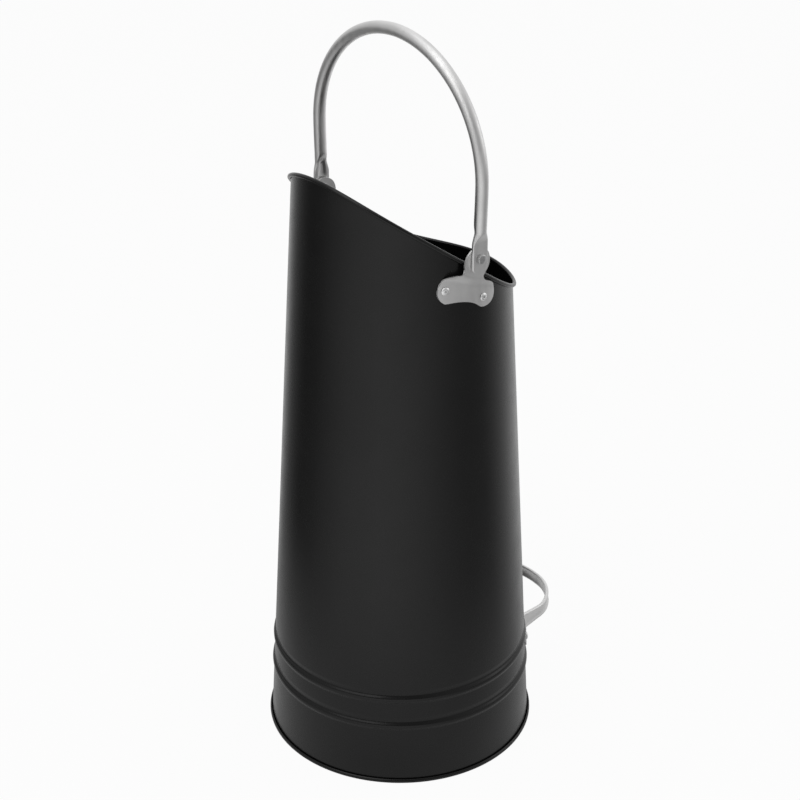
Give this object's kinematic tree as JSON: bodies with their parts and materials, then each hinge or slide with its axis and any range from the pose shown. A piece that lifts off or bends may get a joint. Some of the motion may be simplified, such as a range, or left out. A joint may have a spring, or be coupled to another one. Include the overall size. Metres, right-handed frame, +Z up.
{
  "type": "coal scuttle",
  "caption": "Tall round tapered sheet-steel coal hod with a sloping mouth, swinging tubular bail on riveted ears, and a low rear strap handle.",
  "frame": {"origin": "on the body's axis at floor level; the base plate's underside is 3 mm above it", "axes": "+Z up along the body's axis, -X towards the pouring lip, +X towards the rear handle, Y along the bail's pivots"},
  "size_m": [0.2872, 0.2404, 0.6562],
  "materials": {
    "black_paint": "satin black powder coat",
    "pewter_steel": "pewter-grey satin plated steel",
    "bright_rivet": "bright rivet metal",
    "steel_wire": "plain drawn wire"
  },
  "bodies": {
    "hod": {"body_shell": "black_paint", "rim_wire": "steel_wire", "base_plate": "black_paint", "ear_left": "pewter_steel", "ear_right": "pewter_steel", "ear_left_rivet_front": "bright_rivet", "ear_left_rivet_rear": "bright_rivet", "ear_right_rivet_front": "bright_rivet", "ear_right_rivet_rear": "bright_rivet", "pivot_rivet_left": "bright_rivet", "pivot_rivet_right": "bright_rivet", "rear_handle": "pewter_steel", "rear_handle_left_rivet_inner": "bright_rivet", "rear_handle_left_rivet_outer": "bright_rivet", "rear_handle_right_rivet_inner": "bright_rivet", "rear_handle_right_rivet_outer": "bright_rivet"},
    "bail": {"bail_handle": "pewter_steel"}
  },
  "joints": [
    {"name": "bail_swing", "type": "hinge", "parent": "hod", "child": "bail", "pos_m": [-0.0026, 0, 0.4879], "axis": [0, 1, 0], "range_deg": [-138, 134]}
  ]
}
